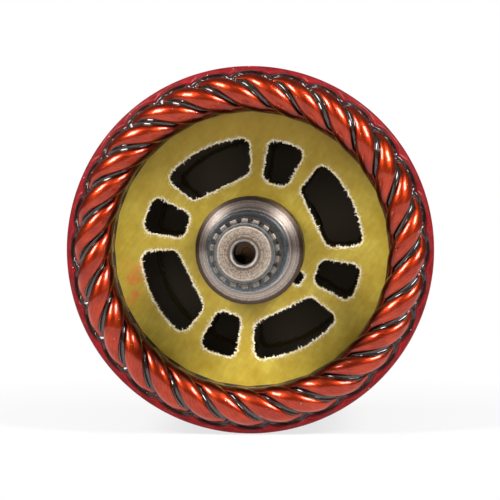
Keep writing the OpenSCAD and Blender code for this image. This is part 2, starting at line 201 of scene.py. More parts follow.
# Painted highlights: the pale ring from 3.6 to 4.0 mm and the bright line at 12.6 mm. Painted shade: the
# darker blue-grey at 8.4 mm and from 10.6 to 12.2 mm.
ring_colours = ((2.2, "#7A5434"), (2.9, "#6E625A"), (3.45, "#6A625A"), (3.6, "#DCD6D0"), (4.0, "#B8B0A8"),
          (4.3, "#6E5C4E"), (5.3, "#B5A290"), (7.8, "#C8B8A8"), (8.4, "#858C90"), (9.2, "#908C88"),
          (10.1, "#A0968C"), (10.6, "#70777C"), (12.2, "#858B90"), (12.6, "#E4DED8"), (12.95, "#988C82"),
          (13.4, "#AA9D92"), (14.3, "#CABDB1"), (14.6, "#A89B90"), (15.2, "#B4A89C"), (15.6, "#5A4A40"),
          (16.8, "#4E3F36"))
for i, (r, code) in enumerate(ring_colours):
    stop = tint.color_ramp.elements[i] if i < 2 else tint.color_ramp.elements.new(1.0)
    stop.position, stop.color = r / ramp_r, srgb(code)
# Tool marks run round the shaft, so the pattern follows radius and depth only: 0.25 mm feed, drawn as 0.5 mm.
travel = add(tree, "ShaderNodeMath", [(0, split.outputs["Y"]), (1, 0.83), (2, radius)],
             operation="MULTIPLY_ADD")
marks = add(tree, "ShaderNodeTexNoise", [("W", travel), ("Scale", 1 / 0.5), ("Detail", 2.0)],
            noise_dimensions="1D")
grime = add(tree, "ShaderNodeTexNoise", [("Vector", mm), ("Scale", 1 / 0.45), ("Detail", 3.0)])
dirt = add(tree, "ShaderNodeMath", [(0, marks), (1, grime)], operation="MULTIPLY")
worn = add(tree, "ShaderNodeMapRange", [("Value", dirt), ("From Min", 0.14), ("From Max", 0.3)])
clean = add(tree, "ShaderNodeMapRange", [("Value", radius), ("From Min", 4.5), ("From Max", 9.0),
                                         ("To Min", 0.22), ("To Max", 0.6)])
# Old grease holds grit between the spline's teeth and on the face behind them; the darkening there is also
# painted shade of that recess.
grease_and_shade = add(tree, "ShaderNodeMath", [(0, radius), (1, 10.3), (2, 2.0)], operation="COMPARE")
bare = add(tree, "ShaderNodeMath", [(0, grease_and_shade), (1, -0.4), (2, clean)], operation="MULTIPLY_ADD")
kept = add(tree, "ShaderNodeMath", [(0, worn), (1, bare)], operation="MAXIMUM")
metal = add(tree, "ShaderNodeMix", [("Factor", kept), ("A", srgb("#5A5148")), ("B", tint)],
            data_type="RGBA")
join(shader, [("Base Color", metal)])
# The coarse facing cut on the end scatters light more than the ground and turned diameters.
faced = add(tree, "ShaderNodeMapRange", [("Value", split.outputs["Y"]), ("From Min", -33.0),
                                         ("From Max", -30.0), ("To Min", 0.2), ("To Max", 0.0)])
turned = add(tree, "ShaderNodeMapRange", [("Value", marks), ("To Min", 0.2), ("To Max", 0.45)])
gloss = add(tree, "ShaderNodeMath", [(0, turned), (1, faced)], operation="ADD")
join(shader, [("Roughness", gloss)])
bump = add(tree, "ShaderNodeBump", [("Height", dirt), ("Strength", 0.5), ("Distance", 0.0001)])
join(shader, [("Normal", bump)])
piece("shaft_bar", verts, faces, shaft_steel, "machined_steel", "shaft")

# Core. Electrical-steel sheets half a millimetre thick, punched with slots and ducts, pressed into a stack on
# the shaft over a key and dipped in varnish. The edges of the sheets show as fine lines round the outside.


def mottled(tree, mm, grain, detail, dark, light):
    """Cloudy noise with a grain in millimetres, and the mix of two colours that follows it."""
    cloud = add(tree, "ShaderNodeTexNoise", [("Vector", mm), ("Scale", 1 / grain), ("Detail", detail)])
    return cloud, add(tree, "ShaderNodeMix", [("Factor", cloud), ("A", srgb(dark)), ("B", srgb(light))],
                      data_type="RGBA")


def dress(material, *nodes):
    """Gives CAD solids their material. Their meshes stay as they are."""
    for node in nodes:
        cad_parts[node].data.materials.clear()
        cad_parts[node].data.materials.append(material)


# Varnished electrical steel: dark grey metal ruled round by the sheets' edges, painted dark brown and smooth
# in the ducts.
stack_steel, tree, shader, mm = finish("varnished_electrical_steel")
split, radius = off_axis(tree, mm)
# Sheets of 0.5 mm are too fine to show, so the lines are drawn 1 mm apart.
sheets = add(tree, "ShaderNodeTexNoise", [("W", split.outputs["Y"]), ("Scale", 1.0), ("Detail", 3.0)],
             noise_dimensions="1D")
_, tone = mottled(tree, mm, 14, 5.0, "#3A3230", "#575150")
lines = add(tree, "ShaderNodeMix", [("Factor", sheets), ("A", srgb("#1E1A19")),
                                    ("B", tone)], data_type="RGBA")
# Varnish drained through the ducts and left them dark; the dark brown there is also painted shade, standing
# in for the little light that reaches deep into them.
outer = add(tree, "ShaderNodeMapRange", [("Value", radius), ("From Min", 36.0), ("From Max", 38.0)])
shown = add(tree, "ShaderNodeMix", [("Factor", outer), ("A", srgb("#2A211D")),
                                    ("B", lines)], data_type="RGBA")
join(shader, [("Base Color", shown)])
shine = add(tree, "ShaderNodeMath", [(0, outer), (1, 0.7)], operation="MULTIPLY")
join(shader, [("Metallic", shine)])
dull = add(tree, "ShaderNodeMapRange", [("Value", outer), ("To Min", 0.1), ("To Max", 0.42)])
keyway = add(tree, "ShaderNodeMapRange", [("Value", radius), ("From Min", 19.0), ("From Max", 21.0),
                                          ("To Min", 0.8), ("To Max", 0.0)])
rough = add(tree, "ShaderNodeMath", [(0, dull), (1, keyway)], operation="ADD")
join(shader, [("Roughness", rough)])
relief = add(tree, "ShaderNodeMath", [(0, outer), (1, 0.5)], operation="MULTIPLY")
bump = add(tree, "ShaderNodeBump", [("Height", sheets), ("Strength", relief), ("Distance", 0.0001)])
join(shader, [("Normal", bump)])
dress(stack_steel, "lamination_stack", "core_key")

# End boards. Yellow epoxy and glass-cloth laminate, punched to the same outline as the sheets. The punch
# tears the cloth, so the duct edges are pale, ragged and hairy. A ragged collar is laid over each cut edge.
# The laminate looks yellow and waxy, with slanting yarns in cloudy resin and a smear of red resin.
board_yellow, tree, shader, mm = finish("glass_cloth_laminate", Roughness=0.5)
cloud = add(tree, "ShaderNodeTexNoise", [("Vector", mm), ("Scale", 1 / 7), ("Detail", 8.0),
                                         ("Roughness", 0.65)])
tone = add(tree, "ShaderNodeValToRGB", [("Fac", cloud)])
for i, (at, code) in enumerate(((0.3, "#A08412"), (0.7, "#BEA93F"))):
    tone.color_ramp.elements[i].position, tone.color_ramp.elements[i].color = at, srgb(code)
# Glass yarns lie 0.45 mm apart; they are drawn as slanting streaks 0.9 mm apart, so that they just show.
slant = add(tree, "ShaderNodeMapping", [("Vector", mm), ("Rotation", (0, math.radians(-55), 0)),
                                        ("Scale", (5.0, 5.0, 0.9))], vector_type="TEXTURE")
yarns = add(tree, "ShaderNodeTexNoise", [("Vector", slant), ("Scale", 1.0), ("Detail", 3.0)])
faint = add(tree, "ShaderNodeMapRange", [("Value", yarns), ("From Min", 0.3), ("From Max", 0.7),
                                         ("To Min", 0.26), ("To Max", 0.0)])
cloth = add(tree, "ShaderNodeMix", [("Factor", faint), ("A", tone),
                                    ("B", srgb("#7E6408"))], data_type="RGBA")
# Red resin was wiped off the board left of the shaft and left a smear about 12 mm long.
away = add(tree, "ShaderNodeVectorMath", [(0, mm), (1, (-36.2, 38, -11.5))], operation="DISTANCE")
blot = add(tree, "ShaderNodeTexNoise", [("Vector", mm), ("Scale", 1 / 3.5), ("Detail", 4.0)])
fade = add(tree, "ShaderNodeMapRange", [("Value", away), ("From Min", 3.0), ("From Max", 9.5),
                                        ("To Min", 0.6), ("To Max", 0.0)])
wiped = add(tree, "ShaderNodeMapRange", [("Value", blot), ("From Min", 0.45), ("From Max", 0.62)])
smear = add(tree, "ShaderNodeMath", [(0, fade), (1, wiped)], operation="MULTIPLY")
stained = add(tree, "ShaderNodeMix", [("Factor", smear), ("A", cloth),
                                      ("B", srgb("#C8401A"))], data_type="RGBA")
# The upper part of the board is painted a little browner: painted shade under the ring above it, tinted by
# the copper's bounce light.
depth = add(tree, "ShaderNodeSeparateXYZ", [(0, mm)])
top_shade = add(tree, "ShaderNodeMapRange", [("Value", depth.outputs["Z"]), ("From Min", 12.0), ("From Max", 42.0),
                                        ("To Max", 0.5)])
top_shaded = add(tree, "ShaderNodeMix", [("Factor", top_shade), ("A", stained),
                                      ("B", srgb("#8E6612"))], data_type="RGBA")
# Torn cloth is cream, strongest at the cut and gone two millimetres away.
torn = add(tree, "ShaderNodeAttribute", attribute_name="torn")
shred = add(tree, "ShaderNodeTexNoise", [("Vector", mm), ("Scale", 1 / 0.6), ("Detail", 4.0)])
reach = add(tree, "ShaderNodeMath", [(0, shred), (1, 0.9), (2, torn.outputs["Fac"])],
            operation="MULTIPLY_ADD")
cream = add(tree, "ShaderNodeMapRange", [("Value", reach), ("From Min", 0.64), ("From Max", 1.3)])
shown = add(tree, "ShaderNodeMix", [("Factor", cream), ("A", top_shaded),
                                    ("B", srgb("#F8F4E6"))], data_type="RGBA")
# The commutator end was dipped in varnish with the winding, so its board is brown.
darkened = add(tree, "ShaderNodeMapRange", [("Value", depth.outputs["Y"]), ("From Min", 45.0),
                                          ("From Max", 60.0), ("To Max", 0.88)])
brown = add(tree, "ShaderNodeMix", [("Factor", darkened), ("A", shown),
                                    ("B", srgb("#24170E"))], data_type="RGBA")
join(shader, [("Base Color", brown)])
bump = add(tree, "ShaderNodeBump", [("Height", yarns), ("Strength", 0.25), ("Distance", 0.0001)])
join(shader, [("Normal", bump)])
dress(board_yellow, "drive_end_board", "commutator_end_board")

duct_r0, duct_r1, duct_corner, duct_turn, key_turn = 21.5, 34.8, 2.8, 26.2, -32.5
wide_half, narrow_half = 24.9, 10.2


def bend(centre, r, a0, a1):
    """Points of an arc in the board's plane."""
    return [centre + Vector((math.cos(math.radians(a0 + (a1 - a0) * i / 24)),
                             math.sin(math.radians(a0 + (a1 - a0) * i / 24)))) * r for i in range(25)]


def duct_side(half):
    """Upper half of a duct's outline, from the middle of its outer edge to the middle of its inner edge."""
    s, c, e = math.sin(math.radians(half)), math.cos(math.radians(half)), duct_corner
    outer = half - math.degrees(math.asin(e / (duct_r1 - e)))
    inner = Vector((duct_r0 + e, ((duct_r0 + e) * s - e) / c))
    top = Vector((math.cos(math.radians(outer)), math.sin(math.radians(outer)))) * (duct_r1 - e)
    return (bend(Vector((0, 0)), duct_r1, 0, outer) + bend(top, e, outer, half + 90)
            + bend(inner, e, half + 90, 180))


def cut_edge(side, turn, step=0.14):
    """Points round a cut, as (x, z) pairs with their outward directions, evenly spaced in millimetres."""
    path = side + [Vector((p.x, -p.y)) for p in reversed(side)]
    path = [p for i, p in enumerate(path) if (p - path[i - 1]).length > 1e-6]
    total = sum((path[i] - path[i - 1]).length for i in range(len(path)))
    n = int(total / step)
    out, i, run = [], 0, 0.0
    for k in range(n):
        while run + (path[(i + 1) % len(path)] - path[i]).length < k * total / n:
            run += (path[(i + 1) % len(path)] - path[i]).length
            i = (i + 1) % len(path)
        d = path[(i + 1) % len(path)] - path[i]
        out.append(path[i] + d * ((k * total / n - run) / d.length))
    ct, st = math.cos(math.radians(turn)), math.sin(math.radians(turn))
    spun = [Vector((p.x * ct - p.y * st, p.x * st + p.y * ct)) for p in out]
    ways = [spun[(k + 1) % n] - spun[k - 1] for k in range(n)]
    return [(p, Vector((w.y, -w.x)).normalized()) for p, w in zip(spun, ways)]


notch = [Vector(p) for p in ((18.65, 0), (18.65, 1.6), (18.2, 2.05), (15.2, 2.05), (15.0, 0))]
edges = [cut_edge(notch, key_turn)]
for k in range(4):
    edges += [cut_edge(duct_side(wide_half), duct_turn + 90 * k),
              cut_edge(duct_side(narrow_half), duct_turn + 45 + 90 * k)]
for board, face, inward in (("drive_end", 38.0, 1), ("commutator_end", 132.8, -1)):
    verts, faces, pale = [], [], []
    for edge in edges:
        start, n = len(verts), len(edge)
        for p, out in edge:
            rough = noise.noise(Vector((p.x * 0.8, face, p.y * 0.8)))
            fine = noise.noise(Vector((p.x * 2.3, face + 9, p.y * 2.3)))
            hair = max(0, noise.noise(Vector((p.x * 4.7, face + 17, p.y * 4.7))) - 0.1)
            lip = 0.05 + 0.25 * rough + 0.6 * fine - 1.6 * hair
            # A point of the collar: distance from the cut, depth behind the board's face, share torn.
            section = ((1.7, -0.01, 0.0), (0.9, -0.02, 0.2), (0.45, -0.03, 0.36 + 0.4 * rough),
                       (0.16 + lip * 0.5, -0.03 - 0.04 * fine, 0.72 + 0.3 * fine), (lip, 0.1, 1.0),
                       (lip * 0.8 + 0.1 * fine, 0.7, 0.9), (lip * 0.5, 1.6, 0.8), (0.1, 2.38, 0.6),
                       (0.6, 2.2, 0.5), (1.4, 0.6, 0.0))
            for d, y, t in section:
                q = p + out * d
                verts.append((q.x, face + inward * y, q.y))
                pale.append(t)
        m = len(section)
        for k in range(n):
            a, b = start + m * k, start + m * ((k + 1) % n)
            faces += [(a + j, a + (j + 1) % m, b + (j + 1) % m, b + j) for j in range(m)]
    collar = piece(board + "_torn_edges", verts, faces, board_yellow, "glass_laminate")
    collar.data.attributes.new("torn", "FLOAT", "POINT").data.foreach_set("value", pale)

# Slot insulation. Liners, wedges and layer sleeves of pressed paper board, cut to width, folded and slid in
# round the coils. The varnish dip soaked into them.
# Varnished pressboard: brown and fibrous, with a soft shine.
slot_paper, tree, shader, mm = finish("varnished_pressboard", Roughness=0.5)
_, tone = mottled(tree, mm, 2.5, 6.0, "#4A3320", "#8A6A44")
join(shader, [("Base Color", tone)])
dress(slot_paper, "slot_liners", "slot_wedges", "drive_end_sleeve", "commutator_end_sleeve")

# Coils. Hairpins of copper bar under orange-red enamel and clear varnish, pushed through the slots from the
# drive end and twisted toward their risers. One bar is swept along its path and repeated round the shaft.
slot_n, slot_turn = 28, -2.3
slot_pitch = 360 / slot_n
bar_w, bar_h, nose_w, nose_t, crest_w, bend_l = 4.7, 4.4, 5.0, 4.3, 0.95, 3.0
upper_r, lower_r, low_lead_r, top_lead_r = 51.8, 46.0, 38.6, 43.4
span_half, nose_half, lead_turn = 45.0, 9.0, 45.0 - slot_pitch / 2
board_y1, board_y0, exit_l, drive_rise, lead_rise, lead_in, riser_w = 38.0, 132.8, 4.0, 17.5, 21.0, 3.0, 7.0
nose_y, nose_mid_r, nose_r, nose_h = board_y1 - exit_l - drive_rise, 48.25, 3.8, 3.6


def leg(turn, slot_a, r, lead_r, foot_r):
    """One side of a hairpin from riser to nose, as (angle, radius, depth), with its bends rounded."""
    end_a = slot_a + turn * lead_turn
    y_lead, y_slot0, y_slot1 = board_y0 + exit_l + lead_rise, board_y0 + exit_l, board_y1 - exit_l
    way = [Vector(w) for w in ((end_a, lead_r, y_lead + lead_in + riser_w - 0.1), (end_a, lead_r, y_lead),
                               (slot_a, r, y_slot0), (slot_a, r, y_slot1),
                               (slot_a + turn * (span_half - nose_half), foot_r, nose_y))]
    out = [way[0]]
    for i in (1, 2, 3):
        scale = Vector((math.radians(1) * way[i].y, 1, 1))
        before, after = ((way[i] - way[k]) * scale for k in (i - 1, i + 1))
        p = way[i].lerp(way[i - 1], bend_l / before.length)
        q = way[i].lerp(way[i + 1], bend_l / after.length)
        if i == 2:
            out += [out[-1].lerp(p, t / 7) for t in range(1, 7)]
        out += [p.lerp(way[i], t / 7).lerp(way[i].lerp(q, t / 7), t / 7) for t in range(8)]
    out += [out[-1].lerp(way[4], t / 8) for t in range(1, 8)]
    return out


def bar_of_rings(rings):
    """Points and faces of a closed bar over equal rings of points, capped at both ends."""
    m = len(rings[0])
    verts = [p for ring in rings for p in ring]
    faces = [(k * m + j, k * m + (j + 1) % m, k * m + m + (j + 1) % m, k * m + m + j)
             for k in range(len(rings) - 1) for j in range(m)]
    faces += [tuple(range(m - 1, -1, -1)), tuple(range(len(verts) - m, len(verts)))]
    return verts, faces


# The nose, seen along the ring, is an arch over the end of the core; s runs along it from -1 to 1.
arch = []
for q in range(-90, 91, 5):
    s, c = math.sin(math.radians(q)), math.cos(math.radians(q))
    arch.append(Vector((nose_mid_r + nose_r * s, nose_y - nose_h * c)))
run = [0.0]
for k in range(1, len(arch)):
    run.append(run[-1] + (arch[k] - arch[k - 1]).length)
arch_half = run[-1] / 2
arch_s = [v / arch_half - 1 for v in run]
arch_out = []
for k in range(len(arch)):
    d = (arch[min(k + 1, len(arch) - 1)] - arch[max(k - 1, 0)]).normalized()
    arch_out.append(Vector((d.y, -d.x)))

low = leg(1, 0, lower_r, low_lead_r, arch[0].x)
top = leg(-1, 2 * span_half, upper_r, top_lead_r, arch[-1].x)
stations = [(a, r, y, Vector((-1, 0))) for a, r, y in low]
stations += [(span_half + nose_half * s, p.x, p.y, o) for s, p, o in zip(arch_s, arch, arch_out)]
stations += [(a, r, y, Vector((1, 0))) for a, r, y in reversed(top)]
spots = [Vector(polar(r, a, y)) for a, r, y, o in stations]
# The bar swells from its section in the slot to its section at the nose, and most on the nose's crest.
swell_y, swell_l = 40.0, 22.0
sides, coil_rings, streak = 20, [], []
for k, (a, r, y, o) in enumerate(stations):
    along = (spots[min(k + 1, len(spots) - 1)] - spots[max(k - 1, 0)]).normalized()
    out = Vector((o.x * math.cos(math.radians(a)), o.y, o.x * math.sin(math.radians(a))))
    up = (out - along * out.dot(along)).normalized()
    across = along.cross(up)
    near = min(1, max(0, (swell_y - y) / swell_l))
    crest = max(0, 1 - (((a - span_half) / nose_half + 0.3) / 1.3) ** 2)
    high, wide = bar_h + (nose_t - bar_h) * near, bar_w + (nose_w - bar_w) * near + crest_w * crest
    coil_rings.append([])
    for j in range(sides):
        t = 2 * math.pi * j / sides
        coil_rings[-1].append(spots[k] + up * math.cos(t) * high / 2 + across * math.sin(t) * wide / 2)
        streak += [math.cos(t) * high / 2, math.sin(t) * wide / 2, 2.2 * k]
# Enamelled copper: the clear coat mirrors the room over a soft copper glow, with drawing marks along the bar.
enamel, tree, shader, mm = finish("orange_enamelled_copper", Metallic=0.95, Coat_Weight=0.9,
                                  Coat_Roughness=0.03, Coat_IOR=1.45)
cloud = add(tree, "ShaderNodeTexNoise", [("Vector", mm), ("Scale", 1 / 5), ("Detail", 4.0)])
split, radius = off_axis(tree, mm)
# Painted shade: the bars darken from 15.5 mm deep onward, where they dive under their neighbours.
deep_shade = add(tree, "ShaderNodeMapRange", [("Value", split.outputs["Y"]), ("From Min", 15.5), ("From Max", 21.0),
                                        ("To Max", 0.8)])
# Drawing marks a few hundredths of a millimetre apart are drawn 0.3 mm apart and 8 mm long.
drawn = add(tree, "ShaderNodeAttribute", attribute_name="streak")
long = add(tree, "ShaderNodeMapping", [("Vector", drawn.outputs["Vector"]),
                                       ("Scale", (1 / 0.3, 1 / 0.3, 1 / 8))])
lines = add(tree, "ShaderNodeTexNoise", [("Vector", long), ("Scale", 1.0), ("Detail", 2.0)])
both = add(tree, "ShaderNodeMath", [(0, lines), (1, cloud)], operation="ADD")
tone = add(tree, "ShaderNodeMapRange", [("Value", both), ("From Min", 0.75), ("From Max", 1.25)])
copper = add(tree, "ShaderNodeMix", [("Factor", tone), ("A", srgb("#922109")), ("B", srgb("#BE3B13"))],
             data_type="RGBA")
# The copper is painted dark brown on the lower side of each bar, over its deeper parts and at its inner ends:
# painted shade where the bars dive under their neighbours and turn away from the light.
height = add(tree, "ShaderNodeSeparateXYZ", [(0, drawn.outputs["Vector"])])
flank = add(tree, "ShaderNodeMath", [(0, lines), (1, 0.5), (2, height.outputs["X"])],
            operation="MULTIPLY_ADD")
low_side = add(tree, "ShaderNodeMapRange", [("Value", flank), ("From Min", 0.5), ("From Max", 1.25),
                                            ("To Min", 0.85), ("To Max", 0.0)])
inner = add(tree, "ShaderNodeMapRange", [("Value", radius), ("From Min", 43.2), ("From Max", 45.2),
                                         ("To Min", 0.75), ("To Max", 0.0)])
under = add(tree, "ShaderNodeMath", [(0, inner), (1, deep_shade)], operation="MAXIMUM")
painted_lighting = add(tree, "ShaderNodeMath", [(0, low_side), (1, under)], operation="MAXIMUM")
darkened = add(tree, "ShaderNodeMix", [("Factor", painted_lighting), ("A", copper), ("B", srgb("#2E0C05"))],
             data_type="RGBA")


def specks(tree, mm, apart, rarity, size):
    """Dots of dust on a grid of cells in millimetres, only in some cells; their size is a share of a cell."""
    dots = add(tree, "ShaderNodeTexVoronoi", [("Vector", mm), ("Scale", 1 / apart)])
    pick = add(tree, "ShaderNodeSeparateColor", [(0, dots.outputs["Color"])])
    some = add(tree, "ShaderNodeMath", [(0, pick), (1, rarity)], operation="GREATER_THAN")
    fleck = add(tree, "ShaderNodeMath", [(0, dots.outputs["Distance"]), (1, size)], operation="LESS_THAN")
    return add(tree, "ShaderNodeMath", [(0, some), (1, fleck)], operation="MULTIPLY")


# Specks of dust, a quarter of a millimetre across and a few millimetres apart, cling to the varnish.
dust = specks(tree, mm, 1.8, 0.72, 0.075)
shown = add(tree, "ShaderNodeMix", [("Factor", dust), ("A", darkened), ("B", srgb("#D8C4B4"))],
            data_type="RGBA")
join(shader, [("Base Color", shown)])
gloss = add(tree, "ShaderNodeMapRange", [("Value", lines), ("To Min", 0.28), ("To Max", 0.42)])
join(shader, [("Roughness", gloss)])
bump = add(tree, "ShaderNodeBump", [("Height", lines), ("Strength", 0.3), ("Distance", 0.0001)])
join(shader, [("Normal", bump)])


def round_shaft(name, copies, turn, material, wander=0.0, seed=1):
    """Geometry nodes that repeat a piece round the shaft, each copy turned a little off its place."""
    group = bpy.data.node_groups.new(name, "GeometryNodeTree")
    for label, kind in (("Piece", "NodeSocketGeometry"), ("Copies", "NodeSocketInt"),
                        ("First angle", "NodeSocketFloat"), ("Wander", "NodeSocketFloat"),
                        ("Seed", "NodeSocketInt")):
        group.interface.new_socket(label, in_out="INPUT", socket_type=kind)
    group.interface.new_socket("Ring", in_out="OUTPUT", socket_type="NodeSocketGeometry")
    given = add(group, "NodeGroupInput").outputs
    spots = add(group, "GeometryNodeMeshLine", [("Count", given["Copies"]), ("Offset", (0, 0, 0))])
    index = add(group, "GeometryNodeInputIndex")
    step = add(group, "ShaderNodeMath", [(0, 2 * math.pi), (1, given["Copies"])], operation="DIVIDE")
    turned = add(group, "ShaderNodeMath", [(0, index), (1, step), (2, given["First angle"])],
                 operation="MULTIPLY_ADD")
    off = add(group, "FunctionNodeRandomValue", [("Min", -1.0), ("Max", 1.0), ("Seed", given["Seed"])],
              data_type="FLOAT")
    angle = add(group, "ShaderNodeMath", [(0, off.outputs[1]), (1, given["Wander"]), (2, turned)],
                operation="MULTIPLY_ADD")
    back = add(group, "ShaderNodeMath", [(0, angle), (1, -1.0)], operation="MULTIPLY")
    euler = add(group, "ShaderNodeCombineXYZ", [("Y", back)])
    ring = add(group, "GeometryNodeInstanceOnPoints", [("Points", spots), ("Instance", given["Piece"]),
                                                       ("Rotation", euler)])
    real = add(group, "GeometryNodeRealizeInstances", [(0, ring)])
    done = add(group, "GeometryNodeSetMaterial", [("Geometry", real), ("Material", material)])
    add(group, "NodeGroupOutput", [("Ring", done)])
    return group, {"Copies": copies, "First angle": math.radians(turn), "Wander": math.radians(wander),
                   "Seed": seed}


def grown(made, group, values):
    """Runs a node tree on an object and keeps the result as its plain mesh."""
    run = made.modifiers.new(group.name, "NODES")
    run.node_group = group
    for socket in group.interface.items_tree:
        if socket.in_out == "INPUT" and socket.name in values:
            run[socket.identifier] = values[socket.name]
    graph = bpy.context.evaluated_depsgraph_get()
    made.data = bpy.data.meshes.new_from_object(made.evaluated_get(graph), depsgraph=graph)
    made.modifiers.clear()
    return made


coil = piece("hairpin_coils", *bar_of_rings(coil_rings), enamel, None)
coil.data.attributes.new("streak", "FLOAT_VECTOR", "POINT").data.foreach_set("vector", streak)
grown(coil, *round_shaft("hairpins_round_core", slot_n, slot_turn, enamel, 0.25, 4))
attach(coil, "root")
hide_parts(*["coil_%02d" % i for i in range(1, slot_n + 1)])

# Varnish in the winding. Dark baking varnish that ran into the grooves between the noses and set there,
# hollow in the middle and drawn up against the bars. One groove is drawn, along its slant, and repeated.
# Dark baking varnish: nearly black, wet and mirror-like in the grooves, matt further in, and pale grey-brown
# on the riser disc inside 40 mm radius, painted light that lifts the far end seen through the ducts.
varnish, tree, shader, mm = finish("dark_baking_varnish", Coat_Roughness=0.04)
split, radius = off_axis(tree, mm)
# Painted light: inside 40 mm radius the varnish is pale, so the far end of the ducts is not as black as its
# shade.
painted_lighting = add(tree, "ShaderNodeMapRange", [("Value", radius), ("From Min", 39.5), ("From Max", 41.5),
                                         ("To Min", 1.0), ("To Max", 0.0)])
runs, pool = mottled(tree, mm, 1.8, 3.0, "#1C1512", "#382C26")
tone = add(tree, "ShaderNodeMix", [("Factor", painted_lighting), ("A", pool), ("B", srgb("#6E6252"))],
           data_type="RGBA")
join(shader, [("Base Color", tone)])
back = add(tree, "ShaderNodeMapRange", [("Value", split.outputs["Y"]), ("From Min", 28.0),
                                        ("From Max", 34.0)])
dull = add(tree, "ShaderNodeMath", [(0, painted_lighting), (1, back)], operation="MAXIMUM")
dust = add(tree, "ShaderNodeMapRange", [("Value", dull), ("To Min", 0.12), ("To Max", 0.8)])
join(shader, [("Roughness", dust)])
wet = add(tree, "ShaderNodeMapRange", [("Value", dull), ("To Min", 0.8), ("To Max", 0.0)])
join(shader, [("Coat Weight", wet)])
bump = add(tree, "ShaderNodeBump", [("Height", runs), ("Strength", 0.07), ("Distance", 0.0005)])
join(shader, [("Normal", bump)])
groove_half, groove_level = 0.12, 0.8
groove_s = [-2.6, -2.2, -1.8, -1.4, -1.2] + arch_s + [1.12, 1.3]
flank_t = [0.5, 0.3, 0.2, 0.14, 0.12, 0.105, 0.085, 0.055]
groove_t = [-t for t in flank_t] + [0] + flank_t[::-1]
rings = []
for s in groove_s:
    if -1 <= s <= 1:
        p, o, turn = arch[arch_s.index(s)], arch_out[arch_s.index(s)], nose_half * s
    else:
        end = 0 if s < 0 else -1
        back = (abs(s) - 1) * arch_half
        p, o = arch[end] + Vector((0, back)), arch_out[end]
        turn = math.copysign(nose_half + back * (span_half - nose_half) / drive_rise, s)
    rim = [(t, groove_level * min(1.0, (abs(t) / groove_half) ** 4)) for t in groove_t]
    rim += [(0.4, -0.9), (-0.4, -0.9)]
    rings.append([polar((p + o * level).x, span_half + turn + slot_pitch * (t + 0.5), (p + o * level).y)
                  for t, level in rim])
grooves = piece("nose_varnish", *bar_of_rings(rings), varnish, None)
grown(grooves, *round_shaft("varnish_round_noses", slot_n, slot_turn, varnish))
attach(grooves, "root")
# Between the leads it hangs as a web one millimetre thick, from each bar to the next. The webs close every
# gap behind the ducts, dark sheets that keep the ducts in shade.
web_t = (-0.5, -0.2, 0, 0.2, 0.5)
web = [(0.5, t) for t in web_t] + [(-0.5, t) for t in reversed(web_t)]
verts, faces = [], []
for side in (low, top):
    rings = [[polar(r + h, a + slot_pitch * (t + 0.5), y) for h, t in web]
             for a, r, y in side if y > board_y0 + 1]
    more, quads = bar_of_rings(rings)
    faces += [tuple(len(verts) + i for i in q) for q in quads]
    verts += more
webs = piece("lead_varnish", verts, faces, varnish, None)
grown(webs, *round_shaft("varnish_round_leads", slot_n, slot_turn, varnish))
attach(webs, "root")
fine = [360 * i / 224 for i in range(224)]
# The riser disc closes the far end of the ducts, a dark sheet that keeps them in shade.
disc = [(22.0, 160.2), (45.9, 160.2), (45.9, 164.2), (35.4, 164.2), (35.4, 161.0), (22.0, 161.0)]
piece("riser_varnish", *skin(disc, fine, loop=True), varnish, "red_resin_glass")
# Varnish stands against the board under every coil side, so its inner edge has a straight side for each.
side_turn = 10.9
edge = [1 / math.cos(math.radians((a - side_turn) % slot_pitch - slot_pitch / 2)) for a in fine]
foot = [([r * e for e in edge], y) for r, y in ((43.0, 38.1), (43.05, 37.7), (43.25, 37.1), (43.6, 36.5))]
foot += [(45.0, 35.8), (45.0, 38.1)]
piece("varnish_fillet", *skin(foot, fine, loop=True), varnish, "red_resin_glass")

# Resin bands. Glass tape wound over the coil ends and soaked in crimson resin, which set with a round rim and
# crept in between the noses. Where it meets them the dark varnish shows, so its border is scalloped.
# The resin is deep red and satin; the varnish on it is nearly black and shines, and climbs the bars a little.
band_red, tree, shader, mm = finish("crimson_resin_glass", Specular_IOR_Level=0.15, Coat_Roughness=0.05)
cloud = add(tree, "ShaderNodeTexNoise", [("Vector", mm), ("Scale", 1 / 3), ("Detail", 5.0)])
tone = add(tree, "ShaderNodeValToRGB", [("Fac", cloud)])
for i, (at, code) in enumerate(((0.3, "#5F070C"), (0.7, "#7F0D13"))):
    tone.color_ramp.elements[i].position, tone.color_ramp.elements[i].color = at, srgb(code)
dark = add(tree, "ShaderNodeAttribute", attribute_name="varnished")
border = add(tree, "ShaderNodeMapRange", [("Value", dark.outputs["Fac"]), ("From Min", 0.42),
                                          ("From Max", 0.58)])
shown = add(tree, "ShaderNodeMix", [("Factor", border), ("A", tone),
                                    ("B", srgb("#211916"))], data_type="RGBA")
dust = specks(tree, mm, 1.6, 0.75, 0.08)
dusty = add(tree, "ShaderNodeMix", [("Factor", dust), ("A", shown), ("B", srgb("#E0CCC4"))],
            data_type="RGBA")
join(shader, [("Base Color", dusty)])
# Fresh resin ran in over the older band, so it is still glossy for half a millimetre outside the border.
wet = add(tree, "ShaderNodeMapRange", [("Value", dark.outputs["Fac"]), ("From Min", -1.0), ("From Max", -0.2),
                                       ("To Max", 0.4)])
glossy = add(tree, "ShaderNodeMath", [(0, wet), (1, border)], operation="MAXIMUM")
join(shader, [("Coat Weight", glossy)])
bump = add(tree, "ShaderNodeBump", [("Height", cloud), ("Strength", 0.4), ("Distance", 0.0005)])
join(shader, [("Normal", bump)])
band_r, band_face, cusp_turn, cusp_r = 56.7, 17.15, 6.6, 53.8
ring_angles = [360 * i / 1344 for i in range(1344)]
